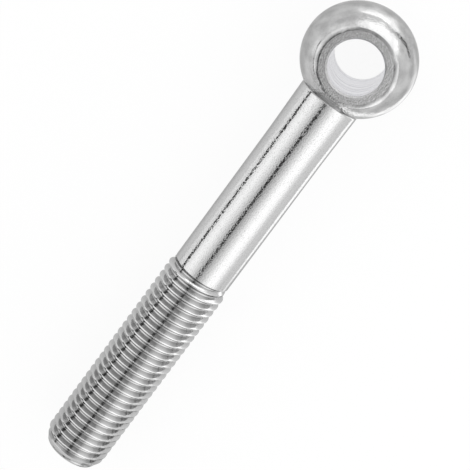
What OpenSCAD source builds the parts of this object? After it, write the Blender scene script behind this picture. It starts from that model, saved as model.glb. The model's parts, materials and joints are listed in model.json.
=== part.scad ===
// Swing eye bolt, M20 coarse by 150: a ball eye with flat sides and a cross bore, a plain
// shank and a rolled right-hand thread, all in one piece. Millimetres.
// The origin is the eye's centre, the bolt runs along +X and the cross bore along Z.

/* [Eye] */
// Diameter of the ball that the eye is turned from
ball_d = 34; // [32:0.5:44]
// Width of the eye between its two flat sides
eye_w = 25; // [20:0.5:27]
// Diameter of the cross bore
bore_d = 16; // [8:0.5:20]
// Chamfer at both mouths of the bore
bore_edge = 0.5; // [0.2:0.1:1]
// Width of the bevel where a flat side meets the ball
flat_edge = 1.2; // [0.2:0.1:2]

/* [Shank] */
// Length from the eye's centre to the end of the thread
bolt_length = 150; // [120:1:250]
// Extra diameter of the shank where it leaves the ball
neck_extra = 0.5; // [0.1:0.1:1]
// Length over which the extra diameter dies out
neck_run = 16; // [8:1:24]
// Radius of the fillet between the ball and the neck
neck_fillet = 0.8; // [0.4:0.1:2]
// Length of the chamfer where the shank drops to the thread
shank_edge = 1; // [0.5:0.1:1.5]

/* [Thread] */
// Nominal size of the thread
thread_size = 20; // [16:0.5:23]
// Advance of the thread in one turn
thread_pitch = 2.5; // [1.5:0.25:3]
// Length of the threaded end
thread_length = 70; // [40:1:100]
// How far the crests stay under the nominal size
thread_slack = 0.1; // [0.05:0.05:0.3]
// Turns over which the thread rises to its full height
run_in = 1.7; // [1:0.1:3]
// Length of the bevel at the free end
tip_run = 3.2; // [1.5:0.1:5]
// How far the end face stays inside the thread's root
tip_under = 0.2; // [0.1:0.1:1]

/* [Hidden] */
$fn = 96;
// Straight steps in one turn of the helix
steps = 24;
// Depth by which one shape runs into the next, so that they join into one solid
bury = 0.3;

ball_r = ball_d / 2;
bore_r = bore_d / 2;
thread_x = bolt_length - thread_length;

// Metric thread form: flanks at 30 degrees, a crest flat of an eighth of the pitch
crest_r = (thread_size - thread_slack) / 2;
thread_depth = 0.6134 * thread_pitch;
root_r = crest_r - thread_depth;
crest_w = thread_pitch / 8;
flank_w = thread_depth * tan(30);
root_w = thread_pitch - crest_w - 2 * flank_w;
// Advance from the start of the form to each of its four corners
form_x = [0, root_w, root_w + flank_w, root_w + flank_w + crest_w];

// The thread is rolled on a blank of the pitch diameter, and that blank is the shank
shank_r = (thread_size - 0.65 * thread_pitch) / 2;
neck_r = shank_r + neck_extra / 2;

// The fillet's circle touches the ball and the neck
fillet_r = neck_r + neck_fillet;
fillet_x = sqrt((ball_r + neck_fillet)^2 - fillet_r^2);
ball_touch = [fillet_r, fillet_x] * ball_r / (ball_r + neck_fillet);

// Rim of a flat side, with a bevel halfway between the flat and the ball's slope
flat_z = eye_w / 2;
flat_r = sqrt(ball_r^2 - flat_z^2);
bevel_r = flat_r - flat_edge / 2;
bevel_reach = 1.5 * flat_edge;
bevel_drop = bevel_reach * tan(atan2(flat_r, flat_z) / 2);

// The helix starts inside the shank and comes out of it where the shank ends
hidden_turns = run_in * (shank_r - root_r) / thread_depth;
helix_x = thread_x - shank_edge - hidden_turns * thread_pitch - (form_x[2] + form_x[3]) / 2;
turns = ceil((bolt_length - helix_x) / thread_pitch) + 1;
last = turns * steps;

// Corner j of the thread form after k steps of the helix
function corner(k, j) =
    let (
        rise = thread_depth * min(1, k / (steps * run_in)),
        r = j < 2 ? root_r : root_r + rise,
        angle = 360 * k / steps
    )
    [r * cos(angle), r * sin(angle), thread_pitch * k / steps + form_x[j]];

// A four-sided patch as two triangles
function patch(a, b, c, d) = [[a, b, c], [a, c, d]];

// Full thread around Z. Both ends close on a point of the axis, one inside the shank
// and one past the tip.
module threaded_rod() {
    start_point = 4 * (last + 1);
    end_point = start_point + 1;
    points = [
        for (k = [0 : last], j = [0 : 3]) corner(k, j),
        [0, 0, 0],
        [0, 0, thread_pitch * (turns + 1)]
    ];
    forms = [
        for (k = [0 : last - 1], j = [0 : 2])
            each patch(4 * k + j, 4 * k + j + 1, 4 * k + j + 5, 4 * k + j + 4)
    ];
    next_turns = [
        for (k = [0 : last - steps - 1])
            each patch(4 * k + 3, 4 * (k + steps), 4 * (k + steps + 1), 4 * k + 7)
    ];
    start_cap = [
        for (k = [0 : steps - 1]) [start_point, 4 * k, 4 * k + 4],
        for (j = [0 : 2]) [start_point, j + 1, j],
        [start_point, 4 * steps, 3]
    ];
    end_cap = [
        for (k = [last - steps : last - 1]) [end_point, 4 * k + 7, 4 * k + 3],
        for (j = [0 : 2]) [end_point, 4 * last + j, 4 * last + j + 1],
        [end_point, 4 * (last - steps) + 3, 4 * last]
    ];
    polyhedron(points, concat(forms, next_turns, start_cap, end_cap));
}

// Ball, neck and shank, turned about Z from one half section
module turned_body() {
    rotate_extrude() {
        intersection() {
            circle(r = ball_r);
            translate([0, -ball_r]) square([ball_r, ball_d]);
        }
        difference() {
            polygon([
                [0, 0],
                ball_touch,
                [neck_r, fillet_x],
                [shank_r, fillet_x + neck_run],
                [shank_r, thread_x - shank_edge],
                [root_r - bury, thread_x],
                [0, thread_x]
            ]);
            translate([fillet_r, fillet_x]) circle(r = neck_fillet);
        }
    }
}

// The helix, trimmed to the bolt's length and bevelled at the free end
module thread() {
    slope = (crest_r - root_r + tip_under) / tip_run;
    margin = tip_run / 2;
    intersection() {
        translate([0, 0, helix_x]) threaded_rod();
        rotate_extrude() polygon([
            [0, 0],
            [crest_r + slope * margin, 0],
            [crest_r + slope * margin, bolt_length - tip_run - margin],
            [root_r - tip_under, bolt_length],
            [0, bolt_length]
        ]);
    }
}

// What is cut away from the ball: the bore with its chamfers, and both flat sides
module eye_cut() {
    side = [
        [bore_r, flat_z - bore_edge],
        [bore_r + bore_edge, flat_z],
        [bevel_r, flat_z],
        [bevel_r + bevel_reach, flat_z - bevel_drop],
        [bevel_r + bevel_reach, ball_d],
        [0, ball_d]
    ];
    rotate_extrude() polygon([
        each side,
        for (i = [len(side) - 1 : -1 : 0]) [side[i].x, -side[i].y]
    ]);
}

module eye_bolt() {
    color("silver") difference() {
        rotate([0, 90, 0]) {
            turned_body();
            thread();
        }
        eye_cut();
    }
}

eye_bolt();
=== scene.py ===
"""Swing eye bolt of bright steel, lying on a white floor inside a light tent."""
import json
import math

import bmesh
import bpy
from mathutils import Matrix, Quaternion, Vector


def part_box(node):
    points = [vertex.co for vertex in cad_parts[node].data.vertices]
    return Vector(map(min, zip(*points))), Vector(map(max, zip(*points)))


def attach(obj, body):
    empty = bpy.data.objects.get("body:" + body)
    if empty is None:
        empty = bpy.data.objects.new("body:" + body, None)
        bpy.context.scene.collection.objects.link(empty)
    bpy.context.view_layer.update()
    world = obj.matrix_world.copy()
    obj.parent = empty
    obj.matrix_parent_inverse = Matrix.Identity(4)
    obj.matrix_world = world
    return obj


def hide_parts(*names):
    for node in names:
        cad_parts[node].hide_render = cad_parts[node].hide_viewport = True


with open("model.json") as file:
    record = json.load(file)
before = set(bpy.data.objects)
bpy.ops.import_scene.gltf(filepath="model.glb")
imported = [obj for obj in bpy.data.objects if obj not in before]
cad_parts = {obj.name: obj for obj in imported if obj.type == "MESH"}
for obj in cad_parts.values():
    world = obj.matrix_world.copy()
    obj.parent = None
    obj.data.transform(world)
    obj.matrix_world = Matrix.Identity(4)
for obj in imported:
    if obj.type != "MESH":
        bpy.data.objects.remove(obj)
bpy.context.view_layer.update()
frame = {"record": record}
MM = 0.001
NODE = "eye_bolt"

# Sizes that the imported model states, in metres
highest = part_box(NODE)[1]
mounts = {mount["name"]: mount for mount in frame["record"]["mounts"]}
BALL_R = highest.y
FLAT_Z = highest.z
BOLT_LENGTH = highest.x
BORE_R = mounts["eye_bore"]["dims"]["r_mm"] * MM
CREST_R = mounts["thread"]["dims"]["r_mm"] * MM
THREAD_X = BOLT_LENGTH - mounts["thread"]["dims"]["length_mm"] * MM
BORE_EDGE = FLAT_Z - mounts["eye_bore"]["dims"]["length_mm"] * MM / 2

# The eye: its length along the bolt as a share of the ball. Its flat sides roll off before the rim,
# and a rounding leads from there to the ball and crosses it. Tilt and crossing are in degrees.
EYE_SHARE = 0.97
FLAT_EDGE = 1.2 * MM
RIM_ROLL = 0.5 * MM
RIM_TILT = 7
RIM_CROSSING = 3
FLAT_R = math.sqrt(BALL_R**2 - FLAT_Z**2)
RIM_R = FLAT_R - FLAT_EDGE / 2

# The metric thread. Its flanks have support points near both ends, as a share of their length.
NOMINAL_R = 10 * MM
PITCH = 2.5 * MM
DEPTH = 0.6134 * PITCH
ROOT_R = CREST_R - DEPTH
CREST_W = PITCH / 8
FLANK_W = DEPTH * math.tan(math.radians(30))
ROOT_W = PITCH - CREST_W - 2 * FLANK_W
CORNER_ROUND = 0.12 * MM
FLANK_SUPPORT = 0.12
# In turns: RUN_IN sets how far inside the shank the helix starts, and the rise begins further on
RUN_IN = 1.7
RISE_START = 0.9
RISE_TURNS = 0.8
# The bevel at the tip, which ends a little inside the thread's root
TIP_RUN = 3.2 * MM
TIP_UNDER = 0.2 * MM

# The shank, which is the blank that the thread is rolled on, and the neck. The shank ends SHANK_GAP
# before the threaded length, and its end reaches under the thread's root by BURY.
SHANK_R = NOMINAL_R - 0.325 * PITCH
SHANK_EDGE = 1 * MM
SHANK_GAP = 0.6 * MM
NECK_EXTRA = 0.25 * MM
NECK_RUN = 16 * MM
NECK_FILLET = 0.8 * MM
BURY = 0.3 * MM

# Finishes of the one piece, in the order of its material slots
BALL, SHANK, FACED, EDGE, BORED, THREAD, CUT = range(7)

# Fineness of the mesh, and the angle in degrees from which an edge is sharp
AROUND = 192
BALL_STEPS = 120
TURN_STEPS = 72
ROLL_STEPS = 6
ROUND_STEPS = 8
SHARP_ANGLE = 18


def arc(centre, radius, start, end, steps):
    """Points of an arc from start to end, in degrees."""
    angles = [math.radians(start + (end - start) * i / steps) for i in range(steps + 1)]
    return [(centre[0] + radius * math.cos(a), centre[1] + radius * math.sin(a)) for a in angles]


def round_corners(points, radius, steps=3):
    """A line of points in which every inner corner is an arc of the given radius."""
    rounded = [points[0]]
    for before, corner, after in zip(points, points[1:], points[2:]):
        before, corner, after = Vector(before), Vector(corner), Vector(after)
        to_before = (before - corner).normalized()
        to_after = (after - corner).normalized()
        half = to_before.angle(to_after) / 2
        middle = corner + (to_before + to_after).normalized() * radius / math.sin(half)
        first = corner + to_before * radius / math.tan(half) - middle
        last = corner + to_after * radius / math.tan(half) - middle
        for i in range(steps + 1):
            spoke = first.lerp(last, i / steps).normalized() * radius
            rounded.append(tuple(middle + spoke))
    return rounded + [points[-1]]


def turned(name, profile, finish_of):
    """A closed mesh turned about Z from (radius, height) points that start and end on the axis."""
    mesh = bmesh.new()
    rings = []
    for radius, height in profile:
        if radius == 0:
            rings.append([mesh.verts.new((0, 0, height))])
        else:
            turn = [2 * math.pi * i / AROUND for i in range(AROUND)]
            circle = [(radius * math.cos(a), radius * math.sin(a), height) for a in turn]
            rings.append([mesh.verts.new(point) for point in circle])
    for row, (low, high) in enumerate(zip(rings, rings[1:])):
        for i in range(AROUND):
            j = (i + 1) % AROUND
            corners = [low[i % len(low)], low[j % len(low)], high[j % len(high)], high[i % len(high)]]
            face = mesh.faces.new(dict.fromkeys(corners))
            face.material_index = finish_of(row)
    return to_object(name, mesh)


def to_object(name, mesh):
    """Links a finished bmesh as an object with outward normals."""
    bmesh.ops.recalc_face_normals(mesh, faces=mesh.faces)
    data = bpy.data.meshes.new(name)
    mesh.to_mesh(data)
    mesh.free()
    piece = bpy.data.objects.new(name, data)
    bpy.context.scene.collection.objects.link(piece)
    return piece


def bolt_body():
    """Ball, neck and shank in one turned form, along X."""
    neck_r = SHANK_R + NECK_EXTRA
    shank_end = THREAD_X - SHANK_GAP
    fillet_r = neck_r + NECK_FILLET
    fillet_x = math.sqrt((BALL_R + NECK_FILLET) ** 2 - fillet_r**2)
    ball_end = math.degrees(math.atan2(fillet_x, fillet_r))
    ball = arc((0, 0), BALL_R, -90, ball_end, BALL_STEPS)
    fillet = arc((fillet_r, fillet_x), NECK_FILLET, ball_end - 180, -180, ROUND_STEPS)
    eye = [(r, x * EYE_SHARE) for r, x in ball[1:] + fillet[1:]]
    shank = [
        (SHANK_R, fillet_x + NECK_RUN),
        (SHANK_R, shank_end - SHANK_EDGE),
        (ROOT_R - BURY, shank_end),
        (0, shank_end),
    ]
    profile = [(0, -BALL_R * EYE_SHARE), *eye, *shank]
    body = turned("bolt_body", profile, lambda row: BALL if row < BALL_STEPS else SHANK)
    body.data.transform(Matrix.Rotation(math.radians(90), 4, "Y"))
    return body


def eye_cutter():
    """What the eye loses: the bore with its chamfers, and both flat sides, which roll off at their rims."""
    roll_tilt = math.radians(RIM_TILT)
    roll_drop = RIM_ROLL * math.tan(roll_tilt) / 2
    rim_start = RIM_R - RIM_ROLL
    shares = [i / ROLL_STEPS for i in range(ROLL_STEPS + 1)]
    roll = [(rim_start + RIM_ROLL * share, FLAT_Z - roll_drop * share**2) for share in shares]
    lift = BALL_R - RIM_R * math.sin(roll_tilt) - roll[-1][1] * math.cos(roll_tilt)
    round_r = (BALL_R**2 - RIM_R**2 - roll[-1][1] ** 2) / (2 * lift)
    middle = (RIM_R - round_r * math.sin(roll_tilt), roll[-1][1] - round_r * math.cos(roll_tilt))
    end_tilt = math.degrees(math.atan2(*middle)) - RIM_CROSSING
    rounding = arc(middle, round_r, 90 - RIM_TILT, 90 - end_tilt, ROUND_STEPS)
    past_drop = FLAT_EDGE * math.tan(math.radians(end_tilt))
    past = (rounding[-1][0] + FLAT_EDGE, rounding[-1][1] - past_drop)
    side = [
        (BORE_R, FLAT_Z - BORE_EDGE),
        (BORE_R + BORE_EDGE, FLAT_Z),
        *roll,
        *rounding[1:],
        past,
        (past[0], 2 * BALL_R),
        (0, 2 * BALL_R),
    ]
    mirrored = [(r, -z) for r, z in reversed(side)]
    half = [EDGE, FACED] + [BALL] * (len(roll[1:]) + len(rounding) + 2)
    whole = [*reversed(half), BORED, *half]
    return turned("eye_cutter", mirrored + side, lambda row: whole[row])


def thread_form():
    """(advance, height) points of one pitch of the thread, with rounded corners and supported flanks."""
    crest = ROOT_W + FLANK_W
    corners = [
        (-FLANK_W / 2, DEPTH / 2),
        (0, 0),
        (ROOT_W, 0),
        (crest, DEPTH),
        (crest + CREST_W, DEPTH),
        (crest + CREST_W + FLANK_W / 2, DEPTH / 2),
    ]
    rounded = round_corners(corners, CORNER_ROUND)
    form = []
    for here, there in zip(rounded, rounded[1:]):
        form.append(here)
        if math.dist(here, there) > FLANK_W / 2:
            supports = (FLANK_SUPPORT, 1 - FLANK_SUPPORT)
            form += [tuple(Vector(here).lerp(there, share)) for share in supports]
    return form


def bolt_thread():
    """Right-hand helix along X that starts inside the shank and is bevelled at the tip."""
    form = thread_form()
    width = len(form)
    crest_middle = ROOT_W + FLANK_W + CREST_W / 2
    hidden_turns = RUN_IN * (SHANK_R - ROOT_R) / DEPTH
    start_x = THREAD_X - SHANK_EDGE - hidden_turns * PITCH - crest_middle
    turns = math.ceil((BOLT_LENGTH - start_x) / PITCH) + 1
    tip_slope = (DEPTH + TIP_UNDER) / TIP_RUN

    mesh = bmesh.new()
    rows = []
    for k in range(turns * TURN_STEPS + 1):
        angle = 2 * math.pi * k / TURN_STEPS
        rise = min(1, max(0, (k / TURN_STEPS - RISE_START) / RISE_TURNS))
        row = []
        for advance, height in form:
            x = start_x + PITCH * k / TURN_STEPS + advance
            bevel_r = ROOT_R - TIP_UNDER + tip_slope * (BOLT_LENGTH - x)
            r = max(min(ROOT_R + height * rise, bevel_r), ROOT_R / 2)
            row.append(mesh.verts.new((x, r * math.sin(angle), -r * math.cos(angle))))
        rows.append(row)
    for low, high in zip(rows, rows[1:]):
        for j in range(width - 1):
            mesh.faces.new((low[j], low[j + 1], high[j + 1], high[j]))
    for k in range(len(rows) - 1 - TURN_STEPS):
        over = k + TURN_STEPS
        mesh.faces.new((rows[k][-1], rows[over][0], rows[over + 1][0], rows[k + 1][-1]))
    start = mesh.verts.new((start_x, 0, 0))
    rim = [row[0] for row in rows[: TURN_STEPS + 1]] + rows[0][::-1]
    for a, b in zip(rim, rim[1:]):
        mesh.faces.new((start, a, b))
    cut = [*mesh.verts, *mesh.edges, *mesh.faces]
    tip = (BOLT_LENGTH, 0, 0)
    bmesh.ops.bisect_plane(mesh, geom=cut, plane_co=tip, plane_no=(1, 0, 0), clear_outer=True)
    open_edges = [edge for edge in mesh.edges if edge.is_boundary]
    for face in mesh.faces:
        face.material_index = THREAD
    for face in bmesh.ops.contextual_create(mesh, geom=open_edges)["faces"]:
        face.material_index = CUT
    return to_object("bolt_thread", mesh)


def apply_boolean(piece, operation, other):
    """Joins or cuts piece with other, which is used up."""
    change = piece.modifiers.new(operation, "BOOLEAN")
    change.operation = operation
    change.solver = "EXACT"
    change.object = other
    with bpy.context.temp_override(object=piece, active_object=piece):
        bpy.ops.object.modifier_apply(modifier=change.name)
    bpy.data.objects.remove(other)


def make_bolt(materials):
    """Body, cut eye and thread as one mesh, in place of the solid."""
    bolt = bolt_body()
    pieces = [bolt, eye_cutter(), bolt_thread()]
    for piece in pieces:
        for material in materials:
            piece.data.materials.append(material)
    apply_boolean(bolt, "DIFFERENCE", pieces[1])
    apply_boolean(bolt, "UNION", pieces[2])
    bolt.name = "steel_bolt"
    bolt.data.shade_smooth()
    bolt.data.set_sharp_from_angle(angle=math.radians(SHARP_ANGLE))
    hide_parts(NODE)
    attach(bolt, "root")


def steel(name, roughness, edge_tint=1):
    """Bright steel without its colour. The edge tint is how much it reflects where it is seen edge on."""
    material = bpy.data.materials.new(name)
    material.use_nodes = True
    shader = material.node_tree.nodes["Principled BSDF"]
    shader.inputs["Metallic"].default_value = 1
    shader.inputs["Roughness"].default_value = roughness
    shader.inputs["Specular Tint"].default_value = (edge_tint, edge_tint, edge_tint, 1)
    return material


def add_noise(material, size, along=None, detail=0):
    """A noise of the given feature size: a grain, or rings along an axis or a radius."""
    nodes, links = material.node_tree.nodes, material.node_tree.links
    place = nodes.new("ShaderNodeTexCoord")
    noise = nodes.new("ShaderNodeTexNoise")
    noise.inputs["Scale"].default_value = 1 / size
    noise.inputs["Detail"].default_value = detail
    if along is None:
        links.new(place.outputs["Object"], noise.inputs["Vector"])
    else:
        noise.noise_dimensions = "1D"
        links.new(ring_position(material, place, along), noise.inputs["W"])
    return noise.outputs["Fac"]


def scale_value(material, value, source, target):
    """Carries the source range of a value over to the target range."""
    scaled = material.node_tree.nodes.new("ShaderNodeMapRange")
    scaled.inputs["From Min"].default_value = source[0]
    scaled.inputs["From Max"].default_value = source[1]
    scaled.inputs["To Min"].default_value = target[0]
    scaled.inputs["To Max"].default_value = target[1]
    material.node_tree.links.new(value, scaled.inputs["Value"])
    return scaled.outputs["Result"]


def noise_height(material, size, height, along=None):
    """Height of a noise relief in metres."""
    return scale_value(material, add_noise(material, size, along), (0, 1), (0, height))


def shade_colour(material, value):
    """Lets a value between 0 and 1 set how light the steel is."""
    nodes, links = material.node_tree.nodes, material.node_tree.links
    links.new(value, nodes["Principled BSDF"].inputs["Base Color"])


# Parts of a position that count for the distance from the bore's axis and from the bolt's axis
RADII = {"bore radius": (1, 1, 0), "bolt radius": (0, 1, 1)}


def ring_position(material, place, along):
    """Distance along an axis, or from the bore's or the bolt's axis, that rings are spaced over."""
    nodes, links = material.node_tree.nodes, material.node_tree.links
    if along in RADII:
        flat = nodes.new("ShaderNodeVectorMath")
        flat.operation = "MULTIPLY"
        flat.inputs[1].default_value = RADII[along]
        length = nodes.new("ShaderNodeVectorMath")
        length.operation = "LENGTH"
        links.new(place.outputs["Object"], flat.inputs[0])
        links.new(flat.outputs["Vector"], length.inputs[0])
        return length.outputs["Value"]
    split = nodes.new("ShaderNodeSeparateXYZ")
    links.new(place.outputs["Object"], split.inputs[0])
    return split.outputs[along]


def join_values(material, operation, values):
    """The sum or the product of some values."""
    nodes, links = material.node_tree.nodes, material.node_tree.links
    total = values[0]
    for value in values[1:]:
        joined = nodes.new("ShaderNodeMath")
        joined.operation = operation
        links.new(total, joined.inputs[0])
        links.new(value, joined.inputs[1])
        total = joined.outputs[0]
    return total


def add_relief(material, heights):
    """Bumps the surface by the sum of the given heights."""
    nodes, links = material.node_tree.nodes, material.node_tree.links
    bump = nodes.new("ShaderNodeBump")
    bump.inputs["Distance"].default_value = 1
    links.new(join_values(material, "ADD", heights), bump.inputs["Height"])
    links.new(bump.outputs["Normal"], nodes["Principled BSDF"].inputs["Normal"])


# Feature sizes that the finishes share
GRAIN = 0.4 * MM
SPECK = 0.3 * MM


def forged_ball():
    """Uneven and mottled, and rough with scale towards the neck."""
    material = steel("steel_ball", roughness=0.13, edge_tint=0.7)
    place = material.node_tree.nodes.new("ShaderNodeTexCoord")
    near_neck = scale_value(material, ring_position(material, place, "X"), (8 * MM, 12 * MM), (0, 1))
    waves = noise_height(material, size=3.5 * MM, height=0.2 * MM)
    grain = noise_height(material, GRAIN, height=0.026 * MM)
    scale = noise_height(material, size=0.6 * MM, height=0.08 * MM)
    add_relief(material, [waves, grain, join_values(material, "MULTIPLY", [scale, near_neck])])
    specks = scale_value(material, add_noise(material, SPECK), (0.25, 0.45), (0.45, 0.52))
    clouds = scale_value(material, add_noise(material, 4 * MM, detail=1.5), (0.35, 0.65), (0.8, 1.08))
    lighter = scale_value(material, near_neck, (0, 1), (1, 1.1))
    shade_colour(material, join_values(material, "MULTIPLY", [specks, clouds, lighter]))
    return material


def drawn_shank():
    """Smooth and finely grained."""
    material = steel("steel_shank", roughness=0.08, edge_tint=0.6)
    add_relief(material, [noise_height(material, GRAIN, height=0.028 * MM)])
    shade_colour(material, scale_value(material, add_noise(material, SPECK), (0.25, 0.45), (0.47, 0.59)))
    return material


def faced_side():
    """Grained, with faint rings about the bore."""
    material = steel("steel_faced", roughness=0.25)
    rings = noise_height(material, size=0.4 * MM, height=0.015 * MM, along="bore radius")
    grain = noise_height(material, size=0.36 * MM, height=0.038 * MM)
    add_relief(material, [rings, grain])
    shade_colour(material, scale_value(material, add_noise(material, SPECK), (0.3, 0.7), (0.53, 0.69)))
    return material


def bore_edge():
    """Matt and grained."""
    material = steel("steel_edge", roughness=0.45)
    add_relief(material, [noise_height(material, GRAIN, height=0.03 * MM)])
    shade_colour(material, scale_value(material, add_noise(material, SPECK), (0.3, 0.7), (0.42, 0.58)))
    return material


def bored_wall():
    """Bluish, with rings from the boring tool and lighter and darker streaks. Its colour is far lighter
    than the other steel's: painted light for the light that the bore doesn't get.
    """
    material = steel("steel_bored_painted_light", roughness=0.2)
    add_relief(material, [noise_height(material, size=0.8 * MM, height=0.1 * MM, along="Z")])
    nodes, links = material.node_tree.nodes, material.node_tree.links
    # Streaks along the bore, all set far lighter than the other steel: partly random tone, partly painted
    # light.
    streaks_and_painted_light = nodes.new("ShaderNodeValToRGB")
    dark, light = streaks_and_painted_light.color_ramp.elements
    dark.position = 0.35
    dark.color = (0.72, 0.72, 0.76, 1)
    light.position = 0.6
    light.color = (0.98, 0.98, 1, 1)
    links.new(add_noise(material, size=1.1 * MM, along="Z", detail=1), streaks_and_painted_light.inputs["Fac"])
    links.new(streaks_and_painted_light.outputs["Color"], nodes["Principled BSDF"].inputs["Base Color"])
    return material


def rolled_thread():
    """Lighter on the crests than in the root, with shade painted into the colour of the thread's root."""
    material = steel("steel_thread_painted_shade", roughness=0.12, edge_tint=0.75)
    add_relief(material, [noise_height(material, GRAIN, height=0.01 * MM)])
    place = material.node_tree.nodes.new("ShaderNodeTexCoord")
    radius = ring_position(material, place, "bolt radius")
    # Painted shade: the colour darkens from the crests down into the root, like shade in the hollows.
    shade_colour(material, scale_value(material, radius, (ROOT_R, CREST_R), (0.47, 0.62)))
    return material


def cut_end():
    """Turned off, with rings about the bolt's axis."""
    material = steel("steel_end", roughness=0.25)
    rings = noise_height(material, size=0.5 * MM, height=0.03 * MM, along="bolt radius")
    grain = noise_height(material, GRAIN, height=0.03 * MM)
    add_relief(material, [rings, grain])
    bands = add_noise(material, size=0.6 * MM, along="bolt radius")
    shade_colour(material, scale_value(material, bands, (0.3, 0.7), (0.45, 0.65)))
    return material


finishes = [forged_ball, drawn_shank, faced_side, bore_edge, bored_wall, rolled_thread, cut_end]
make_bolt([finish() for finish in finishes])

# The bolt rests on the rim of the eye's lower side and on the last full crest of its thread
REST_TILT = math.atan2(FLAT_Z - CREST_R, BOLT_LENGTH - TIP_RUN - RIM_R)
FLOOR_SIZE = 4
# How much of the floor's look is its own white, by the kind of ray that sees it
FLOOR_GLOW = {"Is Camera Ray": 0.92, "Is Glossy Ray": 0.7, "Is Transmission Ray": 0.7}


def make_floor():
    bpy.ops.mesh.primitive_plane_add(size=FLOOR_SIZE)
    floor = bpy.context.object
    floor.name = "floor"
    floor.location = (RIM_R, 0, -FLAT_Z)
    floor.rotation_euler = (0, -REST_TILT, 0)
    floor.data.materials.append(white_floor())


def white_floor():
    """Matt white that looks partly lit from within, so that the background is white."""
    material = bpy.data.materials.new("white_floor")
    material.use_nodes = True
    nodes, links = material.node_tree.nodes, material.node_tree.links
    matt = nodes["Principled BSDF"]
    matt.inputs["Base Color"].default_value = (0.9, 0.9, 0.9, 1)
    matt.inputs["Roughness"].default_value = 1
    matt.inputs["Specular IOR Level"].default_value = 0
    glow = nodes.new("ShaderNodeEmission")
    glow.inputs["Color"].default_value = (1, 1, 1, 1)
    ray = nodes.new("ShaderNodeLightPath")
    share = 0
    for kind, part in FLOOR_GLOW.items():
        added = nodes.new("ShaderNodeMath")
        added.operation = "MULTIPLY_ADD"
        added.inputs[1].default_value = part
        added.inputs[2].default_value = 0
        links.new(ray.outputs[kind], added.inputs[0])
        if share:
            links.new(share, added.inputs[2])
        share = added.outputs[0]
    mix = nodes.new("ShaderNodeMixShader")
    links.new(share, mix.inputs["Fac"])
    links.new(matt.outputs[0], mix.inputs[1])
    links.new(glow.outputs[0], mix.inputs[2])
    links.new(mix.outputs[0], nodes["Material Output"].inputs["Surface"])
    return material


TENT_R = 0.35
TENT_LENGTH = 1.2
# Light inside the tent by direction around the bolt: degrees from straight up, to the right, and strength
TENT_BANDS = (
    (-90, 1.2), (-73, 1.2), (-65, 1.33), (-50, 1.55), (-40, 1.45), (-24, 1.08), (-13, 0.72), (-4, 0.5),
    (4, 0.62), (18, 1.0), (37, 1.6), (44, 1.75), (57, 1.75), (66, 1.62), (80, 1.13), (90, 0.98),
)
# Grey panel at the far end of the tent, past the tip of the bolt
PANEL_X = 0.29
PANEL_SIDE = 25
PANEL_GLOW = 0.67
PANEL_R = 0.98 * TENT_R
# Dark seams of the tent: direction, width in degrees, where they start and end along the bolt, strength
SEAMS = (
    (-76, 8.5, 0.05, 0.24, 0.05),
    (-78, 15, 0.24, 0.5, 0.05),
    (-5, 8.5, 0.02, 0.2, 0.05),
    (-9, 12, 0.28, 0.6, 0.05),
    (82, 16, 0.26, 0.6, 0.55),
)
SEAM_R = 0.96 * TENT_R


def make_tent():
    """A half round light tent over the bolt, with a grey panel and dark seams."""
    sides = [BOLT_LENGTH / 2 + side * TENT_LENGTH / 2 for side in (-1, 1)]
    tent_strip("light_tent", TENT_R, -90, 90, sides, steps=90).data.materials.append(tent_light())
    panel = tent_strip("grey_panel", PANEL_R, -90, PANEL_SIDE, (PANEL_X, sides[1]), steps=40)
    panel.data.materials.append(glow("panel_grey", PANEL_GLOW))
    for i, (middle, width, start, end, strength) in enumerate(SEAMS):
        first, last = middle - width / 2, middle + width / 2
        seam = tent_strip(f"tent_seam_{i}", SEAM_R, first, last, (start, end), steps=4)
        seam.data.materials.append(glow(f"tent_seam_{i}", strength))


def glow(name, strength):
    """A surface that only gives light, or is black at strength 0."""
    material = bpy.data.materials.new(name)
    material.use_nodes = True
    shader = material.node_tree.nodes["Principled BSDF"]
    shader.inputs["Base Color"].default_value = (0, 0, 0, 1)
    shader.inputs["Specular IOR Level"].default_value = 0
    shader.inputs["Emission Color"].default_value = (1, 1, 1, 1)
    shader.inputs["Emission Strength"].default_value = strength
    return material


def tent_strip(name, radius, first, last, sides, steps):
    """A strip of a round tent between two directions in degrees, which the camera doesn't see."""
    mesh = bmesh.new()
    rows = []
    for i in range(steps + 1):
        a = math.radians(first + (last - first) * i / steps)
        y, z = radius * math.sin(a), radius * math.cos(a)
        rows.append([mesh.verts.new((x, y, z)) for x in sides])
    for low, high in zip(rows, rows[1:]):
        mesh.faces.new((low[0], low[1], high[1], high[0]))
    strip = to_object(name, mesh)
    strip.visible_camera = False
    return strip


def tent_light():
    """Light that changes with the direction around the bolt."""
    material = bpy.data.materials.new("tent_light")
    material.use_nodes = True
    nodes, links = material.node_tree.nodes, material.node_tree.links
    nodes.clear()
    place = nodes.new("ShaderNodeTexCoord")
    split = nodes.new("ShaderNodeSeparateXYZ")
    angle = nodes.new("ShaderNodeMath")
    angle.operation = "ARCTAN2"
    share = nodes.new("ShaderNodeMapRange")
    share.inputs["From Min"].default_value = -math.pi / 2
    share.inputs["From Max"].default_value = math.pi / 2
    bands = nodes.new("ShaderNodeValToRGB")
    emission = nodes.new("ShaderNodeEmission")
    output = nodes.new("ShaderNodeOutputMaterial")
    links.new(place.outputs["Object"], split.inputs[0])
    links.new(split.outputs["Y"], angle.inputs[0])
    links.new(split.outputs["Z"], angle.inputs[1])
    links.new(angle.outputs[0], share.inputs["Value"])
    links.new(share.outputs["Result"], bands.inputs["Fac"])
    links.new(bands.outputs["Color"], emission.inputs["Color"])
    links.new(emission.outputs[0], output.inputs["Surface"])
    ramp = bands.color_ramp
    while len(ramp.elements) > 1:
        ramp.elements.remove(ramp.elements[0])
    for i, (degrees, strength) in enumerate(TENT_BANDS):
        stop = ramp.elements[0] if i == 0 else ramp.elements.new((degrees + 90) / 180)
        stop.position = (degrees + 90) / 180
        stop.color = (strength, strength, strength, 1)
    return material


# Share of a card's fade that still changes its light
CARD_FADE = 0.3


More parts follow.
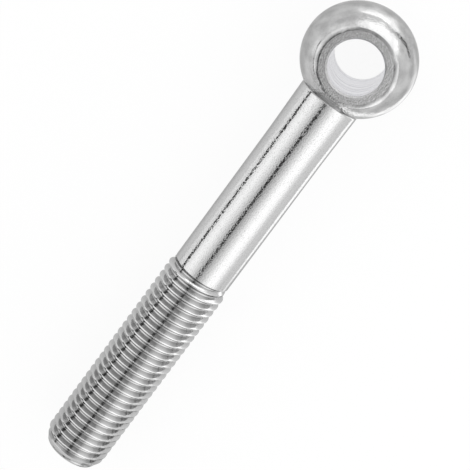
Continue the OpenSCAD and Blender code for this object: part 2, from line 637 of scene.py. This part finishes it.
def make_card(name, centre, half_width, half_height, strength):
    """A glowing oval card with soft edges, which only the bolt sees."""
    facing = half_width.cross(half_height).normalized()
    mesh = bmesh.new()
    mesh.faces.new([mesh.verts.new((x, y, 0)) for x, y in ((-1, -1), (1, -1), (1, 1), (-1, 1))])
    card = to_object(name, mesh)
    axes = Matrix((half_width, half_height, facing)).transposed()
    card.matrix_world = Matrix.Translation(centre) @ axes.to_4x4()
    card.visible_camera = False
    card.visible_diffuse = False
    card.visible_shadow = False
    card.data.materials.append(soft_glow(name, strength))


def soft_glow(name, strength):
    """Light that fades out towards the edge of a two unit square."""
    material = glow(name, strength)
    nodes, links = material.node_tree.nodes, material.node_tree.links
    place = nodes.new("ShaderNodeTexCoord")
    fade = nodes.new("ShaderNodeTexGradient")
    fade.gradient_type = "QUADRATIC_SPHERE"
    sharper = nodes.new("ShaderNodeMapRange")
    sharper.interpolation_type = "SMOOTHSTEP"
    sharper.inputs["From Max"].default_value = CARD_FADE
    links.new(place.outputs["Object"], fade.inputs[0])
    links.new(fade.outputs["Fac"], sharper.inputs["Value"])
    links.new(sharper.outputs["Result"], nodes["Principled BSDF"].inputs["Alpha"])
    return material


# Cards on the floor, from the lowest to the topmost: where they start and end, width and strength
FLOOR_CARDS = {
    "left_card": ((-0.05, -0.2), (0.2, -0.2), 0.3, 1.35),
    "right_grey_card": ((0.168, 0.02), (0.168, 0.2), 0.16, 0.35),
    "right_card": ((-0.045, 0.027), (0.122, 0.0265), 0.021, 2.1),
    "dark_card": ((-0.016, 0.043), (-0.085, 0.018), 0.023, 0),
    "left_grey_card": ((0.07, -0.05), (0.2, -0.05), 0.1, 0.65),
    "limb_card": ((0.094, 0.036), (0.23, 0.036), 0.055, 0.4),
    "end_floor_card": ((-0.022, -0.006), (-0.075, -0.006), 0.075, 2.3),
}
CARD_GAP = 0.1 * MM
# Upright card past the eye: centre, half its width, half its height, and strength
END_CARD = (Vector((-0.13, 0.01, 0.01)), Vector((0, 0.165, 0)), Vector((0, 0, 0.08)), 2.1)


def make_floor_cards():
    for i, (name, (start, end, width, strength)) in enumerate(FLOOR_CARDS.items()):
        lift = CARD_GAP * (i + 1)
        ends = [Vector((x, y, floor_height(x) + lift)) for x, y in (start, end)]
        half_length = (ends[1] - ends[0]) / 2
        half_width = Vector((-half_length.y, half_length.x, 0)).normalized() * width / 2
        make_card(name, (ends[0] + ends[1]) / 2, half_length, half_width, strength)


def floor_height(x):
    return -FLAT_Z + (x - RIM_R) * math.tan(REST_TILT)


def make_world():
    world = bpy.data.worlds.new("white_room")
    world.use_nodes = True
    background = world.node_tree.nodes["Background"]
    background.inputs["Color"].default_value = (1, 1, 1, 1)
    background.inputs["Strength"].default_value = 1
    bpy.context.scene.world = world


CAMERA_TARGET = Vector((63.5, 1.3, 0)) * MM
CAMERA_AZIMUTH = -170.85
CAMERA_ELEVATION = 72.08
CAMERA_DISTANCE = 544.9 * MM
CAMERA_ROLL = -153.04
CAMERA_LENS = 143
SENSOR_WIDTH = 36


def make_camera():
    camera = bpy.data.objects.new("camera", bpy.data.cameras.new("camera"))
    bpy.context.scene.collection.objects.link(camera)
    camera.data.lens = CAMERA_LENS
    camera.data.sensor_width = SENSOR_WIDTH
    turn, lift = math.radians(CAMERA_AZIMUTH), math.radians(CAMERA_ELEVATION)
    back = Vector((math.cos(turn) * math.cos(lift), math.sin(turn) * math.cos(lift), math.sin(lift)))
    camera.location = CAMERA_TARGET + back * CAMERA_DISTANCE
    camera.rotation_mode = "QUATERNION"
    roll = Quaternion((0, 0, 1), math.radians(CAMERA_ROLL))
    camera.rotation_quaternion = (-back).to_track_quat("-Z", "Y") @ roll
    bpy.context.scene.camera = camera


make_floor()
make_tent()
make_floor_cards()
make_card("end_card", *END_CARD)
make_world()
make_camera()
bpy.context.scene.view_settings.view_transform = "Standard"
